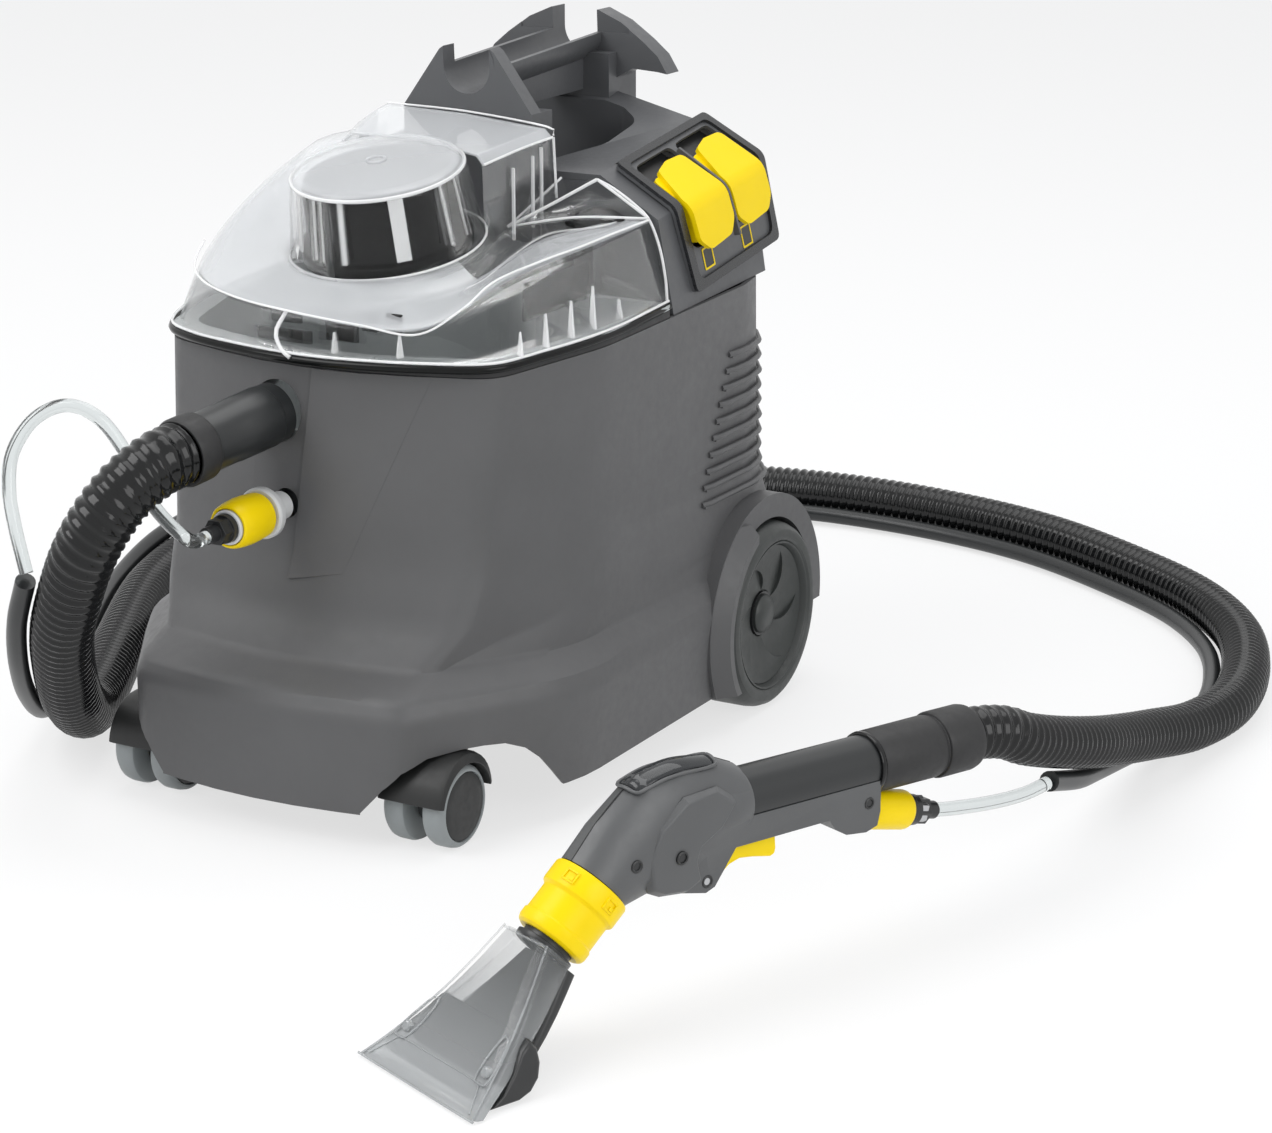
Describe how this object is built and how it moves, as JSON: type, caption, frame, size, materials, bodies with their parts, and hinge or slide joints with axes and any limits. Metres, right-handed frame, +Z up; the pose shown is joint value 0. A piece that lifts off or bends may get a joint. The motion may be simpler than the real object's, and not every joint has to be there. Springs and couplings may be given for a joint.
{
  "type": "spot extractor",
  "caption": "Compact spray-extraction cleaner: skirted tub on rear wheels and twin casters, clear domed tank lid, rocker switches, cradle handle, ribbed hose and upholstery hand tool",
  "frame": {"origin": "On the floor under the machine's centre plane, 150 mm behind the front of its rim", "axes": "+Z up; the hose inlet and the hand tool's mouth look towards -Y; the rocker switches are on the +X side"},
  "size_m": [0.8146, 1.0397, 0.44],
  "materials": {
    "body_grey": "moulded, fine grain",
    "dark_grey": "moulded, fine grain",
    "black_plastic": "moulded",
    "panel_black": "moulded, fine grain",
    "inlet_grey": "extruded, satin",
    "tool_grey": "moulded, fine grain",
    "yellow": "moulded, satin",
    "clear_plastic": "clear, polished",
    "smoked_plastic": "smoked, polished",
    "seal_rubber": "moulded",
    "hose_black": "corrugated, glossy",
    "hose_clear": "clear, flexible",
    "wheel_grey": "moulded, satin",
    "steel": "turned",
    "aluminium": "cast",
    "brass": "turned",
    "pale_plastic": "moulded"
  },
  "bodies": {
    "machine": {"lower_housing": "body_grey", "base_plate": "black_plastic", "rear_deck": "dark_grey", "carry_handle": "dark_grey", "switch_panel": "panel_black", "fresh_water_tank": "clear_plastic", "turbine_housing": "black_plastic", "spray_pump": "black_plastic", "cable_gland": "black_plastic", "inlet_elbow": "inlet_grey", "coupling_socket": "pale_plastic", "suction_duct": "black_plastic", "rear_axle": "steel", "switch_pin": "steel", "caster_sockets": "black_plastic", "base_screws": "steel", "machine_coupling_plug": "black_plastic", "machine_cuff": "seal_rubber", "suction_hose": "hose_black", "hose_sheath": "hose_black", "spray_hose_front": "hose_clear", "spray_hose_rear": "hose_clear", "tool_shell_right": "tool_grey", "tool_shell_left": "tool_grey", "sight_window": "smoked_plastic", "grip_tube": "inlet_grey", "tool_cuff": "inlet_grey", "clear_nozzle": "clear_plastic", "nozzle_base": "black_plastic", "spray_jet": "brass", "trigger_pin": "steel", "valve_body": "black_plastic", "tool_screws": "steel", "tool_coupling_plug": "black_plastic"},
    "vacuum_rocker": {"vacuum_rocker": "yellow"},
    "spray_rocker": {"spray_rocker": "yellow"},
    "turbine": {"turbine_rotor": "aluminium"},
    "dirty_tank": {"dirty_water_tank": "clear_plastic", "tank_seal": "seal_rubber"},
    "tank_lid": {"clear_lid": "clear_plastic", "float_cage": "black_plastic"},
    "float": {"float_cup": "pale_plastic"},
    "right_wheel": {"rear_wheel_right": "wheel_grey", "hub_cap_right": "wheel_grey"},
    "left_wheel": {"rear_wheel_left": "wheel_grey", "hub_cap_left": "wheel_grey"},
    "right_caster": {"caster_fork_right": "black_plastic", "caster_axle_right": "steel"},
    "left_caster": {"caster_fork_left": "black_plastic", "caster_axle_left": "steel"},
    "right_caster_outer": {"caster_wheel_right_outer": "wheel_grey"},
    "right_caster_inner": {"caster_wheel_right_inner": "wheel_grey"},
    "left_caster_outer": {"caster_wheel_left_outer": "wheel_grey"},
    "left_caster_inner": {"caster_wheel_left_inner": "wheel_grey"},
    "machine_sleeve": {"machine_coupling_sleeve": "yellow"},
    "tool_sleeve": {"tool_coupling_sleeve": "yellow"},
    "collar": {"bayonet_collar": "yellow"},
    "trigger": {"spray_trigger": "yellow"},
    "plunger": {"valve_plunger": "steel"}
  },
  "joints": [
    {"name": "vacuum_rocker_tilt", "type": "hinge", "parent": "machine", "child": "vacuum_rocker", "pos_m": [0.115, 0.05359, 0.32211], "axis": [0, 0.9911, 0.1328], "range_deg": [-6, 6]},
    {"name": "spray_rocker_tilt", "type": "hinge", "parent": "machine", "child": "spray_rocker", "pos_m": [0.115, 0.05359, 0.32211], "axis": [0, 0.9911, 0.1328], "range_deg": [-6, 6]},
    {"name": "turbine_spin", "type": "hinge", "parent": "machine", "child": "turbine", "pos_m": [0.042, 0.134, 0.1], "axis": [0, 0, 1], "continuous": true},
    {"name": "tank_lift", "type": "slide", "parent": "machine", "child": "dirty_tank", "axis": [0, 0, 1], "range_m": [0, 0.15]},
    {"name": "lid_lift", "type": "slide", "parent": "dirty_tank", "child": "tank_lid", "axis": [0, 0, 1], "range_m": [0, 0.05]},
    {"name": "float_rise", "type": "slide", "parent": "tank_lid", "child": "float", "axis": [0, -0.2079, 0.9781], "range_m": [0, 0.012]},
    {"name": "right_wheel_spin", "type": "hinge", "parent": "machine", "child": "right_wheel", "pos_m": [0.1455, 0.146, 0.0615], "axis": [1, 0, 0], "continuous": true},
    {"name": "left_wheel_spin", "type": "hinge", "parent": "machine", "child": "left_wheel", "pos_m": [-0.1455, 0.146, 0.0615], "axis": [1, 0, 0], "continuous": true},
    {"name": "right_caster_swivel", "type": "hinge", "parent": "machine", "child": "right_caster", "pos_m": [0.097, -0.145, 0.06], "axis": [0, 0, 1], "continuous": true},
    {"name": "left_caster_swivel", "type": "hinge", "parent": "machine", "child": "left_caster", "pos_m": [-0.097, -0.145, 0.06], "axis": [0, 0, 1], "continuous": true},
    {"name": "right_outer_caster_wheel_spin", "type": "hinge", "parent": "right_caster", "child": "right_caster_outer", "pos_m": [0.097, -0.162, 0.025], "axis": [1, 0, 0], "continuous": true},
    {"name": "right_inner_caster_wheel_spin", "type": "hinge", "parent": "right_caster", "child": "right_caster_inner", "pos_m": [0.097, -0.162, 0.025], "axis": [1, 0, 0], "continuous": true},
    {"name": "left_outer_caster_wheel_spin", "type": "hinge", "parent": "left_caster", "child": "left_caster_outer", "pos_m": [-0.097, -0.162, 0.025], "axis": [1, 0, 0], "continuous": true},
    {"name": "left_inner_caster_wheel_spin", "type": "hinge", "parent": "left_caster", "child": "left_caster_inner", "pos_m": [-0.097, -0.162, 0.025], "axis": [1, 0, 0], "continuous": true},
    {"name": "machine_sleeve_pull", "type": "slide", "parent": "machine", "child": "machine_sleeve", "axis": [0, -1, 0], "range_m": [0, 0.004], "stiffness_N_per_m": 200},
    {"name": "tool_sleeve_pull", "type": "slide", "parent": "machine", "child": "tool_sleeve", "axis": [0.376, 0.8945, -0.2419], "range_m": [0, 0.004], "stiffness_N_per_m": 200},
    {"name": "collar_turn", "type": "hinge", "parent": "machine", "child": "collar", "pos_m": [0.29365, -0.36648, 0.056], "axis": [0.2925, 0.6957, 0.6561], "range_deg": [0, 60]},
    {"name": "trigger_squeeze", "type": "hinge", "parent": "machine", "child": "trigger", "pos_m": [0.32872, -0.28305, 0.07], "axis": [0.9219, -0.3875, 0], "range_deg": [0, 4], "stiffness_Nm_per_rad": 0.5, "springref_deg": -1.15},
    {"name": "plunger_lift", "type": "slide", "parent": "machine", "child": "plunger", "axis": [0, 0, 1], "range_m": [0, 0.0012]}
  ],
  "couplings": [
    {"joint": "plunger_lift", "follows": "trigger_squeeze", "m_per_rad": 0.015}
  ]
}
